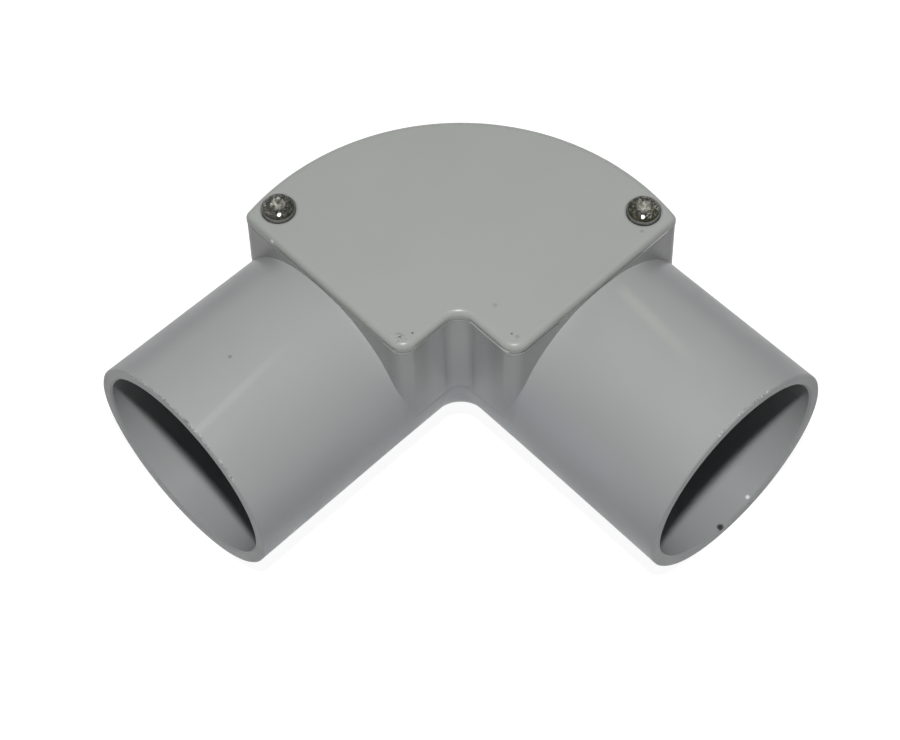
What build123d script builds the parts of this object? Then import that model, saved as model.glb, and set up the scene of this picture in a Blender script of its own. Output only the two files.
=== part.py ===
"""Inspection elbow for 32 mm plastic conduit: a moulded body, a screwed cover and two screws.

The origin is the centre of socket A's mouth. Socket A runs along +Y, socket B comes out along +X,
and the cover faces +Z. Both sockets' axes lie in the plane Z = 0. Lengths are millimetres.
"""

from build123d import *
import os
from math import radians, sqrt, tan

# Sockets, which are alike
conduit_diameter = 32.0
conduit_clearance = 0.15
socket_wall = 1.7
socket_depth = 28.7
socket_draft_angle = 0.5
mouth_edge = 0.2
mouth_lead_in = 0.3

# Bend and box
crotch_radius = 2.7
box_straight = 8.9
box_wall = 1.8
rim_drop = 0.25
stop_height = 1.25
stop_width = 1.8
parting_step = 0.15
box_draft_angle = 1.1
outer_corner_radius = 2.0
toe_radius = 2.7

# Cover
cover_thickness = 1.8
cover_inset = 0.05
cover_corner_radius = 1.2
cover_edge_round = 1.0
cover_under_chamfer = 0.12
lip_height = 1.5
lip_width = 1.1
lip_clearance = 0.25
lip_corner_radius = 0.5

# Screws and their holes
screw_from_end_wall = 4.75
screw_from_arc = 4.05
boss_radius = 3.45
head_diameter = 5.0
head_height = 2.0
head_side_height = 0.6
head_seat_clearance = 0.2
counterbore_depth = 0.45
shank_diameter = 2.4
shank_length = 7.5
tip_length = 0.7
thread_clearance = 0.05
cover_hole_clearance = 0.25
pilot_spare_depth = 0.6
recess_span = 2.7
recess_wing = 0.8
recess_depth = 1.35
recess_floor_span = 0.9

# Sizes that follow
socket_bore = conduit_diameter / 2 + conduit_clearance
tube_radius = socket_bore + socket_wall
bend_radius = tube_radius + crotch_radius
box_reach = bend_radius + box_straight
socket_draft = socket_depth * tan(radians(socket_draft_angle))
reach = box_reach + socket_depth
passage_radius = socket_bore - stop_height
chamber_radius = tube_radius - box_wall
rim_height = tube_radius - rim_drop
rim_draft = rim_height * tan(radians(box_draft_angle))
cover_plan_inset = rim_draft + cover_inset
cover_top = rim_height + cover_thickness
chamber_inset = parting_step + box_wall
lip_outside = chamber_inset + lip_clearance
lip_inside = lip_outside + lip_width
head_seat = cover_top - counterbore_depth
head_top = head_seat + head_height
head_dome = head_height - head_side_height
crown = ((head_diameter / 2) ** 2 + head_dome**2) / (2 * head_dome)
screw_tip = head_seat - shank_length
pilot_floor = screw_tip - pilot_spare_depth

# The two axes cross here, and the bend turns about a centre given from here
crossing = Vector(0, reach, 0)
bend_centre = Vector(bend_radius, -bend_radius)


def plan_plane(height):
    """Level plane at a height above the sockets' axes, with its origin where they cross."""
    return Plane(origin=crossing + Vector(0, 0, height))


def outline(inset, outer, toe, notch):
    """Face of the box seen from above, moved inwards by inset, with its corners rounded."""
    end = box_reach - inset
    side = tube_radius + parting_step - inset
    arc_radius = bend_radius + side
    arc_end = sqrt(arc_radius**2 - (end - bend_radius) ** 2)
    arc_middle = bend_centre + Vector(-arc_radius, 0).rotate(Axis.Z, -45)
    with BuildSketch() as plan:
        with BuildLine():
            Polyline(
                (bend_radius - arc_end, -end),
                (side, -end),
                (side, -side),
                (end, -side),
                (end, arc_end - bend_radius),
            )
            ThreePointArc((end, arc_end - bend_radius), arc_middle, (bend_radius - arc_end, -end))
        make_face()
        notch_corner = [(side, -side)]
        toes = [(side, -end), (end, -side)]
        outer_corners = [(bend_radius - arc_end, -end), (end, arc_end - bend_radius)]
        for corners, radius in ((notch_corner, notch), (toes, toe), (outer_corners, outer)):
            if radius > 0:
                fillet([plan.vertices().sort_by_distance(at)[0] for at in corners], radius)
    return plan.sketch


# Screw centres: a set distance in from the end wall and from the arc
screw_radius = bend_radius + tube_radius + parting_step - screw_from_arc
screw_beyond_bend = box_straight - screw_from_end_wall
screw_side = bend_radius - sqrt(screw_radius**2 - screw_beyond_bend**2)
screw_end = bend_radius + screw_beyond_bend
screw_centres = {"a": (screw_side, -screw_end), "b": (screw_end, -screw_side)}


def centre_line(start):
    """Line round the bend, from a depth below socket A's mouth to the same depth below B's."""
    with BuildLine() as run:
        Line((0, start), (0, reach - bend_radius))
        RadiusArc((0, reach - bend_radius), (bend_radius, reach), bend_radius)
        Line((bend_radius, reach), (reach - start, reach))
    return run.wire()


# Box over the bend, wider at its foot than at its rim
with BuildPart() as box:
    with BuildSketch(plan_plane(0)):
        add(outline(0, outer_corner_radius, toe_radius, crotch_radius - parting_step))
    extrude(amount=rim_height)
    draft(box.faces().filter_by(Axis.Z, reverse=True), plan_plane(0), box_draft_angle)

# Body
with BuildPart() as elbow_body:
    with BuildSketch(Plane.XZ):
        Circle(tube_radius)
    sweep(path=centre_line(0))
    with BuildSketch(Plane.XZ):
        Circle(tube_radius + socket_draft)
    with BuildSketch(Plane.XZ.offset(-socket_depth)):
        Circle(tube_radius)
    loft(ruled=True)
    with BuildSketch(Plane.YZ.offset(reach)):
        with Locations((reach, 0)):
            Circle(tube_radius + socket_draft)
    with BuildSketch(Plane.YZ.offset(reach - socket_depth)):
        with Locations((reach, 0)):
            Circle(tube_radius)
    loft(ruled=True)
    add(box.part)
    with BuildSketch(plan_plane(rim_height)):
        add(outline(rim_draft, 0, 0, 0))
    extrude(amount=cover_thickness, mode=Mode.SUBTRACT)
    with BuildSketch(plan_plane(0)):
        add(outline(chamber_inset, 0, toe_radius - box_wall, crotch_radius + box_wall))
    extrude(amount=rim_height, mode=Mode.SUBTRACT)
    with BuildSketch(plan_plane(0)):
        with Locations(*screw_centres.values()):
            Circle(boss_radius)
    extrude(amount=rim_height)
    with BuildSketch(Plane.XZ.offset(-socket_depth - stop_width)):
        Circle(chamber_radius)
    sweep(path=centre_line(socket_depth + stop_width), mode=Mode.SUBTRACT)
    with BuildSketch(Plane.XZ.offset(-socket_depth)):
        Circle(passage_radius)
    sweep(path=centre_line(socket_depth), mode=Mode.SUBTRACT)
    with BuildSketch(Plane.XZ):
        Circle(socket_bore)
    extrude(amount=-socket_depth, mode=Mode.SUBTRACT)
    with BuildSketch(Plane.YZ.offset(reach)):
        with Locations((reach, 0)):
            Circle(socket_bore)
    extrude(amount=-socket_depth, mode=Mode.SUBTRACT)
    with Locations(plan_plane(rim_height)):
        with Locations(*screw_centres.values()):
            Hole(shank_diameter / 2 + thread_clearance, depth=rim_height - pilot_floor)
    mouths = elbow_body.faces().filter_by(GeomType.PLANE)
    mouths = [mouths.sort_by(Axis.Y)[0], mouths.sort_by(Axis.X)[-1]]
    chamfer([mouth.outer_wire().edge() for mouth in mouths], mouth_edge)
    mouths = elbow_body.faces().filter_by(GeomType.PLANE)
    mouths = [mouths.sort_by(Axis.Y)[0], mouths.sort_by(Axis.X)[-1]]
    chamfer([mouth.inner_wires()[0].edge() for mouth in mouths], mouth_lead_in)

elbow_body.part.label = "elbow_body"

# Cover
with BuildPart() as cover:
    with BuildSketch(plan_plane(rim_height)):
        add(outline(cover_plan_inset, cover_corner_radius, toe_radius, crotch_radius))
    extrude(amount=cover_thickness)
    top = cover.faces().filter_by(Axis.Z).sort_by(Axis.Z)[-1]
    fillet(top.edges(), cover_edge_round)
    underside = cover.faces().filter_by(Axis.Z).sort_by(Axis.Z)[0]
    chamfer(underside.edges(), cover_under_chamfer)
    with BuildSketch(plan_plane(rim_height)):
        add(outline(lip_outside, 0, lip_corner_radius, crotch_radius + lip_outside))
        add(outline(lip_inside, 0, lip_corner_radius, crotch_radius + lip_inside), mode=Mode.SUBTRACT)
        with Locations(*screw_centres.values()):
            Circle(boss_radius + lip_clearance, mode=Mode.SUBTRACT)
    extrude(amount=-lip_height)
    with Locations(plan_plane(cover_top)):
        with Locations(*screw_centres.values()):
            CounterBoreHole(
                radius=shank_diameter / 2 + cover_hole_clearance,
                counter_bore_radius=head_diameter / 2 + head_seat_clearance,
                counter_bore_depth=counterbore_depth,
                depth=cover_thickness,
            )

cover.part.label = "cover"

# Cross recess: two crossed slots, cut to a taper by a cone
with BuildPart() as recess:
    with BuildSketch(plan_plane(head_top)):
        Rectangle(recess_span, recess_wing)
        Rectangle(recess_wing, recess_span)
    extrude(amount=-recess_depth)
    with Locations(plan_plane(head_top - recess_depth / 2)):
        Cone(recess_floor_span / 2, recess_span / 2, recess_depth, mode=Mode.INTERSECT)

# Screws: one turned profile, set down at each centre
screws = {}
for side, centre in screw_centres.items():
    with BuildPart() as screw:
        with BuildSketch(Plane.XZ.offset(-reach)):
            with BuildLine():
                Polyline(
                    (0, head_top),
                    (0, screw_tip),
                    (shank_diameter / 4, screw_tip),
                    (shank_diameter / 2, screw_tip + tip_length),
                    (shank_diameter / 2, head_seat),
                    (head_diameter / 2, head_seat),
                    (head_diameter / 2, head_seat + head_side_height),
                )
                RadiusArc((head_diameter / 2, head_seat + head_side_height), (0, head_top), -crown)
            make_face()
        revolve(axis=Axis((0, reach, 0), (0, 0, 1)))
        add(recess.part, mode=Mode.SUBTRACT)
    screws[side] = Pos(*centre) * screw.part
    screws[side].label = "cover_screw_" + side

os.makedirs("parts", exist_ok=True)
export_step(elbow_body.part, "parts/elbow_body.step")
export_step(cover.part, "parts/cover.step")
for side, screw_part in screws.items():
    export_step(screw_part, "parts/cover_screw_" + side + ".step")
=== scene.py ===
"""Looks for the inspection elbow: grey moulded plastic, worn plated screws and a white sweep."""

import bmesh
import bpy
import math
from mathutils import Matrix, Vector


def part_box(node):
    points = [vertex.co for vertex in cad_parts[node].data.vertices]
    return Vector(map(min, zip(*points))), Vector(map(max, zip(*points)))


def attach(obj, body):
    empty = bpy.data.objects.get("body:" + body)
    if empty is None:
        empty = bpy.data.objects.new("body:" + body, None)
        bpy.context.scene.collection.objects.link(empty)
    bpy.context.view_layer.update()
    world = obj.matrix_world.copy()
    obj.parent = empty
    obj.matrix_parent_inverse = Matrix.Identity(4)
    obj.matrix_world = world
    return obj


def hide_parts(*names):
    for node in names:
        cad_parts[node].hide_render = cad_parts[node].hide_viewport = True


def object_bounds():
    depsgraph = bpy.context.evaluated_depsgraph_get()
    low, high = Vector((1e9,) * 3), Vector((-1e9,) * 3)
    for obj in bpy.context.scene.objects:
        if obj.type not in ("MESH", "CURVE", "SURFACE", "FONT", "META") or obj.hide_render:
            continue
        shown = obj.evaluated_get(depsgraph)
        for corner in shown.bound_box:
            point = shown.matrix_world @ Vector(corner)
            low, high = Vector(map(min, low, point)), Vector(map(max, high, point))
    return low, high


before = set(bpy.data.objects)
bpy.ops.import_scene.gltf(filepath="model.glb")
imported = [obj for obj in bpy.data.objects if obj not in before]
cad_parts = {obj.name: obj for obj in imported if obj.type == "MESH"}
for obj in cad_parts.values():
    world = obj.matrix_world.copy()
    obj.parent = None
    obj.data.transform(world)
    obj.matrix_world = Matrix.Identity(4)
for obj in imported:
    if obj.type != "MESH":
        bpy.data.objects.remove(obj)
cad_low, cad_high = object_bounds()

# From the frame: where the sockets' axes cross, in metres, and the reach and the cover's top, in millimetres
MM = 0.001
body_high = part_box("elbow_body")[1]
cover_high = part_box("cover")[1]
crossing = Vector((0, body_high.x, 0))
REACH = body_high.x / MM
COVER_TOP = cover_high.z / MM

# On the moulding, in millimetres: the rim under the cover, the notch's corner, the end walls, the bores' edge
RIM = 17.6
NOTCH_X, NOTCH_Y = 18.0, 40.15
END_A_Y = 28.9
END_B_X = 29.25
BORE_INSIDE, BORE_OUTSIDE = 16.5, 16.7

ACROSS_Y, ACROSS_X, ACROSS_Z = (1.0, 0.0, 1.0), (0.0, 1.0, 1.0), (1.0, 1.0, 0.0)


# Nodes
class Tree:
    """A material's or the world's nodes, with short calls for the kinds used here."""

    def __init__(self, tree):
        self.tree = tree
        tree.nodes.clear()

    def add(self, kind, **settings):
        made = self.tree.nodes.new(kind)
        for name, value in settings.items():
            setattr(made, name, value)
        return made

    def put(self, value, socket):
        if isinstance(value, bpy.types.NodeSocket):
            self.tree.links.new(value, socket)
        elif value is not None:
            socket.default_value = value

    def math(self, operation, a, b=None, c=None):
        made = self.add("ShaderNodeMath", operation=operation)
        for value, socket in zip((a, b, c), made.inputs):
            self.put(value, socket)
        return made.outputs[0]

    def vector(self, operation, a, b=None, out=0):
        made = self.add("ShaderNodeVectorMath", operation=operation)
        self.put(a, made.inputs[0])
        self.put(b, made.inputs[1])
        return made.outputs[out]

    def length(self, a):
        return self.vector("LENGTH", a, out="Value")

    def place(self):
        """The point in the row frame, in millimetres."""
        where = self.add("ShaderNodeTexCoord").outputs["Object"]
        return self.vector("MULTIPLY", where, (1 / MM, 1 / MM, 1 / MM))

    def parts(self, place):
        made = self.add("ShaderNodeSeparateXYZ")
        self.put(place, made.inputs[0])
        return made.outputs[0], made.outputs[1], made.outputs[2]

    def offset(self, place, through, across):
        """From the line through a point to the place, across the line."""
        return self.vector("MULTIPLY", self.vector("SUBTRACT", place, through), across)

    def all(self, *shares):
        made = shares[0]
        for share in shares[1:]:
            made = self.math("MULTIPLY", made, share)
        return made

    def either(self, a, b):
        return self.math("MAXIMUM", a, b)

    def gap(self, a, b):
        return self.math("ABSOLUTE", self.math("SUBTRACT", a, b))

    def near(self, value, at, width):
        return self.ramp(self.gap(value, at), width * 0.7, width, 1.0, 0.0)

    def between(self, value, low, high):
        fade = 0.6
        return self.all(self.ramp(value, low, low + fade), self.ramp(value, high - fade, high, 1.0, 0.0))

    def spot(self, place, centre, size, share):
        off = self.length(self.vector("SUBTRACT", place, centre))
        return self.ramp(off, size * 0.4, size, share, 0.0)

    def specks(self, place, shade, rows):
        """Small round marks, each given by its centre, size, share and colour."""
        for centre, size, share, colour in rows:
            shade = self.mix(self.spot(place, centre, size, share), shade, colour)
        return shade

    def noise(self, place, scale, detail, rough):
        made = self.add("ShaderNodeTexNoise")
        self.put(place, made.inputs["Vector"])
        for name, value in (("Scale", scale), ("Detail", detail), ("Roughness", rough)):
            made.inputs[name].default_value = value
        return made.outputs["Fac"]

    def ramp(self, value, low, high, to_low=0.0, to_high=1.0):
        """A smooth change from to_low to to_high while the value goes from low to high."""
        made = self.add("ShaderNodeMapRange", interpolation_type="SMOOTHSTEP")
        self.put(value, made.inputs["Value"])
        limits = {"From Min": low, "From Max": high, "To Min": to_low, "To Max": to_high}
        for name, limit in limits.items():
            made.inputs[name].default_value = limit
        return made.outputs["Result"]

    def mix(self, share, a, b):
        made = self.add("ShaderNodeMix", data_type="RGBA")
        self.put(share, made.inputs[0])
        self.put(a, made.inputs[6])
        self.put(b, made.inputs[7])
        return made.outputs[2]

    def bump(self, height, strength, distance):
        made = self.add("ShaderNodeBump")
        made.inputs["Strength"].default_value = strength
        made.inputs["Distance"].default_value = distance
        self.put(height, made.inputs["Height"])
        return made.outputs["Normal"]

    def principled(self, **sockets):
        shader = self.add("ShaderNodeBsdfPrincipled")
        for name, value in sockets.items():
            self.put(value, shader.inputs[name.replace("_", " ")])
        self.end(shader, "ShaderNodeOutputMaterial")

    def end(self, shader, kind):
        self.tree.links.new(shader.outputs[0], self.add(kind).inputs["Surface"])


def grey(level, warm=0.0, green=0.0):
    """A linear colour from an sRGB level of 0 to 255, a little warm or green."""
    made = []
    for shift in (warm, green, -warm):
        c = (level + shift) / 255
        made.append(c / 12.92 if c <= 0.04045 else ((c + 0.055) / 1.055) ** 2.4)
    return (*made, 1.0)


def material(name):
    made = bpy.data.materials.new(name)
    made.use_nodes = True
    return made, Tree(made.node_tree)


def dress(node, made):
    """Gives a carried-over node its material."""
    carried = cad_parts[node]
    if not carried.material_slots:
        carried.data.materials.append(made)
    for slot in carried.material_slots:
        slot.material = made


def show(name, data):
    """Puts a new object into the scene."""
    made = bpy.data.objects.new(name, data)
    bpy.context.scene.collection.objects.link(made)
    return made


def screw_box(node):
    """A screw's box and the foot of its axis, in millimetres."""
    low, high = (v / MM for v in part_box(node))
    return low, high, ((low.x + high.x) / 2, (low.y + high.y) / 2, 0.0)


# Plastic
def plastic(name, level, rough, seed, marks):
    """Moulded plastic: a little cloudy and wavy, with the marks and the painted light and shade that the
    named function adds.
    """
    made, t = material(name)
    place = t.place()
    moved = t.vector("ADD", place, (seed, seed * 0.7, -seed))
    cloud = t.noise(moved, 0.06, 3.0, 0.55)
    shade = t.mix(t.ramp(cloud, 0.35, 0.65), grey(level - 1, -0.4, 1.0), grey(level + 1, -0.4, 1.4))
    wave = t.noise(moved, 0.35, 1.0, 0.5)
    t.principled(
        Base_Color=marks(t, place, shade, level),
        Roughness=t.ramp(t.noise(moved, 0.16, 4.0, 0.6), 0.3, 0.7, rough - 0.03, rough + 0.04),
        IOR=1.5,
        Specular_IOR_Level=0.32,
        Normal=t.bump(wave, 0.05, 0.0002),
    )
    return made


def socket_light_and_shade(t, place, shade, level):
    """Painted light and shade: darker, cooler lower sides, lighter sides towards the notch, darker sides away
    from it, and a lighter bend below.
    """
    x, y, z = t.parts(place)
    shade = t.mix(t.ramp(z, 13.0, 4.0), shade, grey(level - 5, -2.0, 0.0))

    on_a = t.ramp(y, END_A_Y - 0.5, END_A_Y + 0.5, 1.0, 0.0)
    on_b = t.ramp(x, END_B_X - 0.45, END_B_X + 0.55)
    inner_a = t.all(t.ramp(x, 10.0, 14.0), t.ramp(y, 12.0, 26.0, 0.0, 0.65), on_a)
    inner_b = t.all(t.ramp(y, 48.0, 44.0), t.ramp(x, 62.0, 42.0), on_b)
    inner = t.all(t.either(inner_a, inner_b), t.ramp(z, 11.5, 6.5, 0.0, 0.9))
    shade = t.mix(inner, shade, grey(level + 5, -2.5, 0.3))

    outer_a = t.all(t.ramp(x, -6.0, -11.0), t.ramp(y, END_A_Y - 0.3, END_A_Y, 1.0, 0.0))
    outer_b = t.all(t.ramp(y, 64.0, 69.0), t.ramp(x, END_B_X + 0.05, END_B_X + 0.35))
    outer = t.all(t.either(outer_a, outer_b), t.ramp(z, 4.0, 12.0, 0.0, 0.8))
    shade = t.mix(outer, shade, grey(level - 22, -1.0, 0.0))

    below = t.ramp(z, 3.0, -4.0)
    shade = t.mix(below, shade, grey(level + 5, -3.5, 0.5))
    neck_a = t.ramp(y, 22.0, 33.0, 0.0, 0.6)
    neck_b = t.all(t.ramp(x, 50.0, 30.0), t.ramp(y, 46.0, 42.0))
    neck = t.all(t.either(neck_b, neck_a), t.ramp(z, 3.0, -4.0, 0.0, 0.8))
    return t.mix(neck, shade, grey(level + 17, -4.0, 0.5))


def bore_tones_and_painted_light(t, place, shade, level):
    """Bores darker low down, and painted light lifting their shadowed upper side."""
    x, y, z = t.parts(place)
    from_a = t.length(t.offset(place, (0.0, 0.0, 0.0), ACROSS_Y))
    from_b = t.length(t.offset(place, (0.0, REACH, 0.0), ACROSS_X))
    bore_a = t.all(t.ramp(from_a, BORE_INSIDE, BORE_OUTSIDE, 1.0, 0.0), t.ramp(y, 29.0, 31.0, 1.0, 0.0))
    bore_b = t.all(t.ramp(from_b, BORE_INSIDE, BORE_OUTSIDE, 1.0, 0.0), t.ramp(x, 27.2, 29.2))
    inside = t.mix(t.ramp(z, 4.0, 10.0), grey(level - 12, -1.0, 0.5), grey(level + 6))
    return t.mix(t.either(bore_a, bore_b), shade, inside)


def box_wall_light_and_shade(t, place, shade, level):
    """Walls of the box: painted shade over the sockets' outer sides, and in the notch painted light by its
    corner and painted shade by the toes.
    """
    x, y, z = t.parts(place)
    end_a = t.all(t.near(y, END_A_Y, 0.5), t.ramp(x, -8.0, -11.5))
    end_b = t.all(t.near(x, END_B_X, 0.5), t.ramp(y, 66.0, 70.0))
    shade = t.mix(t.either(end_a, end_b), shade, grey(level - 19))
    # Painted light by the notch's corner, painted shade by its toes.
    notch_walls = t.either(t.near(x, NOTCH_X - 0.25, 0.5), t.near(y, NOTCH_Y + 0.25, 0.5))
    along = t.length(t.offset(place, (NOTCH_X, NOTCH_Y, 0.0), ACROSS_Z))
    by_corner = t.all(notch_walls, t.ramp(along, 2.6, 3.6), t.ramp(along, 4.5, 8.0, 0.9, 0.0))
    shade = t.mix(by_corner, shade, grey(level + 12, -1.0, 0.0))
    by_toe = t.all(notch_walls, t.ramp(along, 5.2, 7.6), t.ramp(along, 8.6, 9.3, 0.8, 0.0))
    return t.mix(t.all(by_toe, t.ramp(z, 3.0, 9.0)), shade, grey(level - 15))


def painted_highlight_streaks(t, place, shade, level):
    """Painted highlight streaks along the sockets' upper sides, and a darker far end of socket B."""
    x, y, z = t.parts(place)
    upper = t.ramp(z, 2.0, 6.0)
    far_end = t.all(t.ramp(x, 44.0, 57.0, 0.0, 0.5), t.ramp(y, 61.0, 67.0), upper)
    shade = t.mix(far_end, shade, grey(level - 15, -0.5, 0.0))
    off_a = t.gap(x, t.math("MULTIPLY_ADD", y, -0.09, 5.7))
    streak_a = t.all(t.ramp(off_a, 0.1, 0.95, 0.22, 0.0), t.ramp(y, 9.0, 23.0, 1.0, 0.0), upper)
    shade = t.mix(streak_a, shade, grey(level + 32, 0, 1))
    off_b = t.gap(y, t.math("MULTIPLY_ADD", x, -0.112, 63.9))
    run_b = t.all(t.ramp(x, 30.0, 32.5), t.ramp(x, 38.0, 50.0, 1.0, 0.0))
    streak_b = t.all(t.ramp(off_b, 0.2, 1.5, 0.26, 0.0), run_b, upper)
    return t.mix(streak_b, shade, grey(level + 26, 4, 5))


def mouths(t, place, shade, level):
    """Burrs along the mouths' outer edges, and darker faces."""
    x, y, z = t.parts(place)
    grain = t.noise(place, 2.3, 4.0, 0.7)
    patches = t.ramp(t.noise(place, 0.22, 2.0, 0.5), 0.36, 0.50)
    rim_a = t.all(t.ramp(y, 0.20, 0.50, 0.85, 0.0), t.ramp(z, 11.5, 13.0))
    rim_b = t.all(t.ramp(x, REACH - 0.55, REACH - 0.2), t.between(y, 52.0, 64.0), t.ramp(z, 12.0, 14.0))
    rim = t.all(t.either(rim_a, rim_b), patches)
    shade = t.mix(t.all(rim, t.ramp(grain, 0.54, 0.61, 0.0, 0.8)), shade, grey(96, 4, 1))
    shade = t.mix(t.all(rim, t.ramp(grain, 0.45, 0.39, 0.0, 0.8)), shade, grey(212, 5, 2))
    face = t.either(t.ramp(y, 0.01, 0.05, 1.0, 0.0), t.ramp(x, REACH - 0.05, REACH - 0.01))
    return t.mix(face, shade, grey(level - 17, -1.0, 0.0))


BODY_SPECKS_AND_HIGHLIGHT = (
    ((-0.03, 11.65, 17.85), 0.42, 0.55, grey(100)),
    ((57.8, 56.9, -16.1), 0.75, 0.95, grey(44)),
    # A painted highlight: a glint just inside socket B's mouth, low down.
    ((57.4, 63.4, -15.3), 0.45, 0.8, grey(238)),
)


def body_marks_and_painted_light(t, place, shade, level):
    """What the moulded body shows besides its colour: marks, and painted light and shade."""
    # Painted light and shade on the sockets, bores and walls, painted highlight streaks, then the mouths'
    # marks.
    for marks in (socket_light_and_shade, bore_tones_and_painted_light, box_wall_light_and_shade, painted_highlight_streaks, mouths):
        shade = marks(t, place, shade, level)
    shade = t.specks(place, shade, BODY_SPECKS_AND_HIGHLIGHT)

    # Painted shade in the joint under the cover
    x, y, z = t.parts(place)
    past_a = t.ramp(y, END_A_Y + 0.03, END_A_Y + 0.08)
    past_b = t.ramp(x, END_B_X - 0.08, END_B_X - 0.03, 1.0, 0.0)
    joint = t.all(t.ramp(z, RIM - 0.22, RIM - 0.10, 0.0, 0.35), past_a, past_b)
    return t.mix(joint, shade, grey(92))


def screw_ring_shade(t, place, shade):
    """Painted shade in rings round the screws' heads."""
    for node in ("cover_screw_a", "cover_screw_b"):
        foot = screw_box(node)[2]
        out = t.length(t.offset(place, foot, ACROSS_Z))
        shade = t.mix(t.ramp(out, 2.72, 3.05, 0.36, 0.0), shade, grey(96, 1, 1))
    return shade


def lower_edge_light_and_shade(t, place, shade):
    """The cover's lower edge: painted shade in the joint, a painted shadow of a gap along one side, and three
    runs where a ridge of flash catches light, painted as highlights with painted shade above.
    """
    x, y, z = t.parts(place)
    # Painted shade in the joint along the cover's lower edge.
    shade = t.mix(t.ramp(z, RIM + 0.02, RIM + 0.20, 0.3, 0.0), shade, grey(88))
    # Painted shadow of a gap along one side.
    gap_shade = t.all(t.near(x, 29.05, 0.25), t.between(y, 41.5, 50.0))
    shade = t.mix(t.all(gap_shade, t.ramp(z, RIM + 0.25, RIM + 0.40, 0.85, 0.0)), shade, grey(54))
    # Painted highlights where the joint's ridge of flash catches light, with painted shade in the line above.
    for run, strength, colour in (
        (t.all(t.near(y, 40.55, 0.35), t.between(x, 19.6, 28.9)), 0.95, grey(238)),
        (t.all(t.near(y, 29.1, 0.3), t.between(x, 13.4, 17.0)), 0.7, grey(215)),
        (t.all(t.near(x, 29.05, 0.3), t.between(y, 67.0, 73.0)), 0.8, grey(232)),
    ):
        bright = t.ramp(z, RIM + 0.54, RIM + 0.64, strength, 0.0)
        shade = t.mix(t.all(run, bright), shade, colour)
        dark = t.all(t.ramp(z, RIM + 0.58, RIM + 0.66), t.ramp(z, RIM + 0.76, RIM + 0.90, 0.55, 0.0))
        shade = t.mix(t.all(run, dark), shade, grey(76))
    return shade


COVER_SPECKS_AND_HIGHLIGHT = (
    ((16.19, 32.6, 19.4), 0.24, 0.8, grey(80)),
    ((26.3, 42.7, 19.4), 0.28, 0.75, grey(104, 6, 2)),
    ((27.2, 42.95, 19.4), 0.45, 0.4, grey(120, 8, 2)),
    ((21.09, 44.46, 19.4), 0.55, 0.30, grey(120, 6, 2)),
    ((27.0, 69.1, 19.4), 0.40, 0.35, grey(110)),
    # A painted highlight on a small nub at the cover's edge.
    ((-10.4, 29.1, 18.7), 0.42, 0.85, grey(226)),
)


def cover_marks_and_painted_light(t, place, shade, level):
    """What the cover shows: a greener tone, painted shade on its rounded top edge, painted shade round the
    screws, the gate's mark by one toe, specks, a painted highlight, and painted light and shade along its
    lower edge.
    """
    z = t.parts(place)[2]
    shade = t.mix(0.35, shade, grey(level, 3.4, 6.0))
    # Painted shade on the cover's rounded top edge, away from the notch.
    off_notch = t.length(t.offset(place, (NOTCH_X, NOTCH_Y, 0.0), ACROSS_Z))
    edge = t.all(t.ramp(off_notch, 12.0, 15.0), t.ramp(z, COVER_TOP - 0.08, COVER_TOP - 0.45, 0.0, 0.2))
    shade = t.mix(edge, shade, grey(level - 45))
    shade = screw_ring_shade(t, place, shade)
    mottle = t.ramp(t.noise(place, 2.6, 3.0, 0.6), 0.50, 0.58)
    gate = t.all(t.spot(place, (15.5, 30.7, 19.3), 1.15, 0.9), mottle)
    shade = t.mix(gate, shade, grey(92, 8, 4))
    shade = t.specks(place, shade, COVER_SPECKS_AND_HIGHLIGHT)
    return lower_edge_light_and_shade(t, place, shade)


dress("elbow_body", plastic("body_plastic", level=166, rough=0.38, seed=3.0, marks=body_marks_and_painted_light))
dress("cover", plastic("cover_plastic", level=168, rough=0.315, seed=11.0, marks=cover_marks_and_painted_light))


# Steel: the worn middle, the flecks in the rim's painted shade, the polished spot with its painted highlight,
# and the head's side and its height
WORN_DARK, WORN_BRIGHT = (0.30, 0.30, 0.26, 1), (0.72, 0.715, 0.67, 1)
FLECK = (0.58, 0.57, 0.51, 1)
POLISHED_HIGHLIGHT = (0.80, 0.79, 0.76, 1)
SIDE = (0.54, 0.54, 0.51, 1)
SIDE_TOP, SIDE_FULL = 20.00, 19.86


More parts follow.
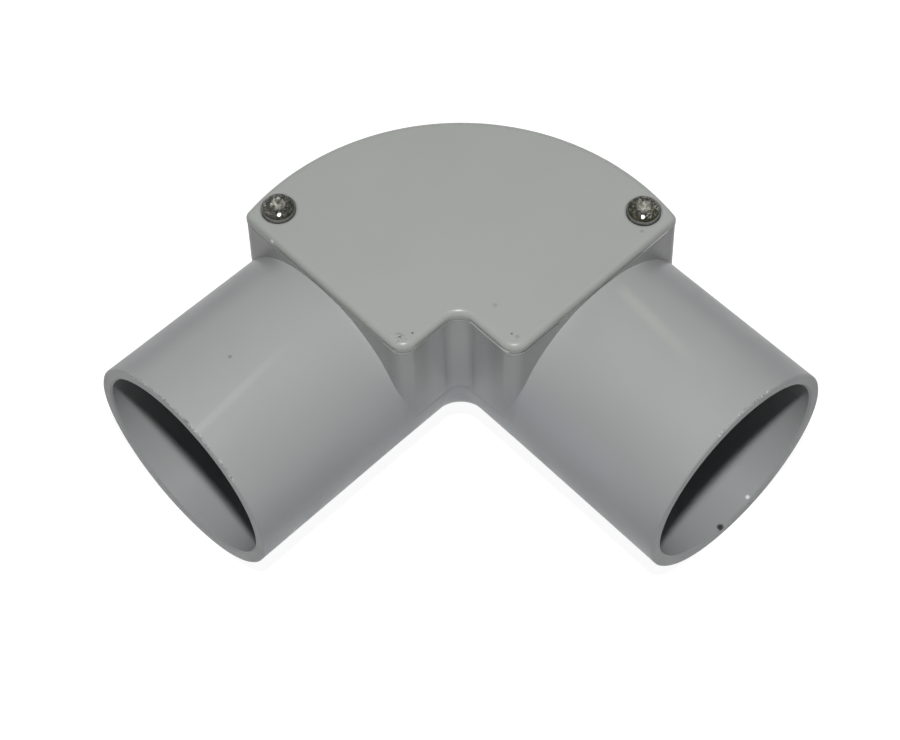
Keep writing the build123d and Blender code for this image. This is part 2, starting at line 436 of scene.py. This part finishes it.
def steel(name, node, glint, warm):
    """Plated steel, worn bright in the middle of the head, with painted shade darkening it towards its rim.
    """
    made, t = material(name)
    place = t.place()
    foot = screw_box(node)[2]
    flat = t.offset(place, foot, ACROSS_Z)
    out = t.length(flat)
    z = t.parts(place)[2]
    marks = t.noise(place, 2.2, 5.0, 0.7)
    fine = t.noise(place, 3.6, 3.0, 0.65)
    # A smoother spot where the flash's highlight falls, made brighter as a painted highlight.
    polished_highlight_spot = t.spot(flat, (*glint, 0.0), 0.40, 0.95)
    worn = t.mix(t.ramp(marks, 0.42, 0.56), WORN_DARK, WORN_BRIGHT)
    # Painted shade: the head darkens towards its rim, save for a few flecks.
    flecks = t.all(t.ramp(fine, 0.54, 0.59), t.ramp(out, 2.3, 2.1))
    painted_rim_shade = t.mix(flecks, (0.05, 0.052, 0.036 + warm, 1), FLECK)
    tone = t.mix(t.ramp(out, 0.65, 1.5), worn, painted_rim_shade)
    tone = t.mix(polished_highlight_spot, tone, POLISHED_HIGHLIGHT)
    tone = t.mix(t.ramp(z, SIDE_TOP, SIDE_FULL, 0.0, 0.95), tone, SIDE)
    relief = t.math("ADD", marks, t.math("MULTIPLY", fine, 0.7))
    relief = t.math("MULTIPLY", relief, t.math("SUBTRACT", 1.0, polished_highlight_spot))
    polish = t.ramp(out, 0.7, 1.4, 0.40, 0.17)
    t.principled(
        Base_Color=tone,
        Metallic=1.0,
        Roughness=t.math("ADD", polish, t.ramp(marks, 0.3, 0.7, -0.05, 0.04)),
        Normal=t.bump(relief, 0.9, 0.0003),
    )
    return made


# Screw's head, in millimetres: radii of its top and foot, then how its crown, edges and cross are formed
HEAD, FOOT = 2.36, 2.59
CROWN_DROP, CROWN_EDGE = 0.66, 0.30
FOOT_HEIGHT, FOOT_EDGE = 0.25, 0.08
RECESS_REACH, RECESS_FLOOR, RECESS_DEPTH = 1.32, 0.35, 0.95
RECESS_HALF, RECESS_WALL = 0.24, 0.2
WELL_FLOOR, WELL_EDGE, WELL_DEPTH = 0.36, 0.66, 0.855

# Screw's shank: radii, then the fillet under the head, the thread's form and where it grows in, and the tip
THREAD, CORE, NECK = 1.235, 0.92, 1.12
FILLET_OUT, FILLET_IN, FILLET_DROP, SHANK_DROP = 1.35, 1.15, 0.2, 0.3
PITCH, RIDGE_SHARE = 1.1, 0.22
THREAD_START, THREAD_FULL = 1.9, 2.6
TIP_LENGTH, TIP_TAPER = 1.3, 0.45

COUNTERBORE = 0.45
AROUND, CROWN_RINGS, SHANK_RINGS = 144, 60, 150


def smooth(low, high, x):
    share = min(max((x - low) / (high - low), 0.0), 1.0)
    return share * share * (3 - 2 * share)


def ring_point(k, r, z):
    angle = math.tau * k / AROUND
    return r * math.cos(angle), r * math.sin(angle), z


def plain_ring(r, z):
    return [ring_point(k, r, z) for k in range(AROUND)]


def recess(x, y):
    """Depth of the pressed cross at a point of the head."""
    across, along = sorted((abs(x), abs(y)))
    depth = RECESS_DEPTH * min(max((RECESS_REACH - along) / (RECESS_REACH - RECESS_FLOOR), 0.0), 1.0)
    wall = 1 - smooth(RECESS_HALF, RECESS_HALF + RECESS_WALL, across)
    well = 1 - smooth(WELL_FLOOR, WELL_EDGE, math.hypot(x, y))
    return max(depth * wall, WELL_DEPTH * well)


def crown_ring(r, top):
    """One ring of the domed head, with its rounded edge and the recess."""
    z = top - CROWN_DROP * (r / HEAD) ** 3
    if r > HEAD - CROWN_EDGE:
        z -= CROWN_EDGE - math.sqrt(max(CROWN_EDGE**2 - (r - HEAD + CROWN_EDGE) ** 2, 0))
    return [(x, y, z - recess(x, y)) for x, y, _ in plain_ring(r, z)]


def shank_ring(z, seat, tip):
    """One ring of the shank, whose thread grows out of a plain neck and narrows at the tip."""
    grown = smooth(seat - THREAD_START, seat - THREAD_FULL, z)
    taper = 1 - TIP_TAPER * smooth(tip + TIP_LENGTH, tip, z)
    core = NECK - (NECK - CORE) * grown
    ring = []
    for k in range(AROUND):
        phase = (z / PITCH - k / AROUND) % 1.0
        ridge = max(0.0, 1 - abs(phase - 0.5) / RIDGE_SHARE)
        ring.append(ring_point(k, (core + (THREAD - core) * ridge * grown) * taper, z))
    return ring


def skin(name, first, rings, last):
    """A closed mesh in metres: a fan round the first point, bands between the rings, a fan round the last."""
    bm = bmesh.new()
    start = bm.verts.new(first)
    bands = [[bm.verts.new(point) for point in ring] for ring in rings]
    finish = bm.verts.new(last)
    for k in range(AROUND):
        n = (k + 1) % AROUND
        bm.faces.new((start, bands[0][k], bands[0][n]))
        bm.faces.new((finish, bands[-1][n], bands[-1][k]))
        for a, b in zip(bands, bands[1:]):
            bm.faces.new((a[k], b[k], b[n], a[n]))
    for face in bm.faces:
        face.smooth = True
    mesh = bpy.data.meshes.new(name)
    bm.to_mesh(mesh)
    bm.free()
    return mesh


def make_screw(node, body, turned, made):
    """A pan head screw with a pressed cross recess and a cut thread, in place of its plain solid."""
    low, high, foot = screw_box(node)
    seat = COVER_TOP - COUNTERBORE
    top, tip = high.z, low.z
    rings = [crown_ring(HEAD * n / CROWN_RINGS, top) for n in range(1, CROWN_RINGS + 1)]
    for r, z in (
        (FOOT, seat + FOOT_HEIGHT),
        (FOOT, seat + FOOT_EDGE),
        (FOOT - FOOT_EDGE, seat),
        (FILLET_OUT, seat),
        (FILLET_IN, seat - FILLET_DROP),
    ):
        rings.append(plain_ring(r, z))
    start = seat - SHANK_DROP
    for n in range(SHANK_RINGS + 1):
        rings.append(shank_ring(start - (start - tip) * n / SHANK_RINGS, seat, tip))

    def placed(x, y, z):
        cos_t, sin_t = math.cos(turned), math.sin(turned)
        return (foot[0] + x * cos_t - y * sin_t) * MM, (foot[1] + x * sin_t + y * cos_t) * MM, z * MM

    rings = [[placed(*point) for point in ring] for ring in rings]
    mesh = skin(node + "_turned", placed(0, 0, top - RECESS_DEPTH), rings, placed(0, 0, tip))
    mesh.materials.append(made)
    piece = show(node + "_turned", mesh)
    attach(piece, body)
    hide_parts(node)


steel_a = steel("screw_a_steel", "cover_screw_a", (1.50, -1.08), 0.006)
steel_b = steel("screw_b_steel", "cover_screw_b", (1.18, -1.43), -0.006)
make_screw("cover_screw_a", "screw_a", math.radians(12), steel_a)
make_screw("cover_screw_b", "screw_b", math.radians(38), steel_b)


# Floor and world
def floor_material():
    """White to the camera and to reflections, darker grey to the light that it throws back up."""
    made, t = material("sweep_white")
    path = t.add("ShaderNodeLightPath")
    seen = t.either(path.outputs["Is Camera Ray"], path.outputs["Is Glossy Ray"])
    seen = t.either(seen, path.outputs["Is Transmission Ray"])
    diffuse = t.add("ShaderNodeBsdfDiffuse")
    diffuse.inputs["Color"].default_value = (0.24, 0.24, 0.24, 1)
    glow = t.add("ShaderNodeEmission")
    t.put(t.math("MULTIPLY", seen, 0.935), glow.inputs["Strength"])
    both = t.add("ShaderNodeAddShader")
    t.put(diffuse.outputs[0], both.inputs[0])
    t.put(glow.outputs[0], both.inputs[1])
    t.end(both, "ShaderNodeOutputMaterial")
    return made


def make_floor():
    half = 1.5
    mesh = bpy.data.meshes.new("sweep")
    corners = [(-half, -half, 0), (half, -half, 0), (half, half, 0), (-half, half, 0)]
    mesh.from_pydata(corners, [], [(0, 1, 2, 3)])
    mesh.materials.append(floor_material())
    floor = show("sweep", mesh)
    floor.location = (0.02, 0.04, cad_low.z)


def make_world():
    """White to the camera, and in reflections near the horizon; a low, cool light otherwise."""
    world = bpy.data.worlds.new("studio")
    bpy.context.scene.world = world
    world.use_nodes = True
    t = Tree(world.node_tree)
    path = t.add("ShaderNodeLightPath")
    seen = t.either(path.outputs["Is Camera Ray"], path.outputs["Is Transmission Ray"])
    shown = t.either(seen, path.outputs["Is Glossy Ray"])
    height = t.parts(t.add("ShaderNodeTexCoord").outputs["Generated"])[2]
    backdrop = t.either(t.math("MULTIPLY", shown, t.ramp(height, 0.12, 0.30, 1.0, 0.0)), seen)
    ground = t.add("ShaderNodeBackground")
    t.put(t.mix(backdrop, (0.068, 0.071, 0.077, 1), (1, 1, 1, 1)), ground.inputs["Color"])
    t.end(ground, "ShaderNodeOutputWorld")


# Camera, fitted to the photo's outlines: its axes, and its place from the crossing in millimetres
RIGHT = Vector((0.69428, 0.71957, -0.01459))
UP = Vector((-0.60625, 0.59564, 0.52696))
BACK = Vector((0.38787, -0.35700, 0.84977))
FROM_CROSSING = Vector((159.29, -150.12, 314.72))


def make_camera():
    data = bpy.data.cameras.new("camera")
    data.sensor_width = 36.0
    data.lens = 97.41
    data.clip_start = 0.01
    data.clip_end = 10.0
    camera = show("camera", data)
    axes = Matrix((RIGHT, UP, BACK)).transposed().to_4x4()
    camera.matrix_world = Matrix.Translation(crossing + FROM_CROSSING * MM) @ axes
    bpy.context.scene.camera = camera


# Lights: a flash just above the lens, and soft ones behind for the sides that it leaves dark
AIM = Vector((0.005, -0.005, 0))


def lamp(name, where, size, watts):
    """A square lamp, placed from the crossing and aimed at the part, in metres."""
    data = bpy.data.lights.new(name, "AREA")
    data.shape = "RECTANGLE"
    data.size = data.size_y = size
    data.energy = watts
    made = show(name, data)
    made.location = crossing + Vector(where)
    made.rotation_mode = "QUATERNION"
    made.rotation_quaternion = (made.location - (crossing + AIM)).to_track_quat("Z", "Y")
    return made


make_floor()
make_world()
make_camera()
lamp("flash", (0.1585, -0.1490, 0.5130), 0.026, 2.52)
for side, where in (("back_left", (-1.0, 0.15, 0.16)), ("back_right", (-0.15, 1.0, 0.16))):
    lamp(side, where, 0.6, 1.6).visible_glossy = False
bpy.context.scene.view_settings.view_transform = "Standard"
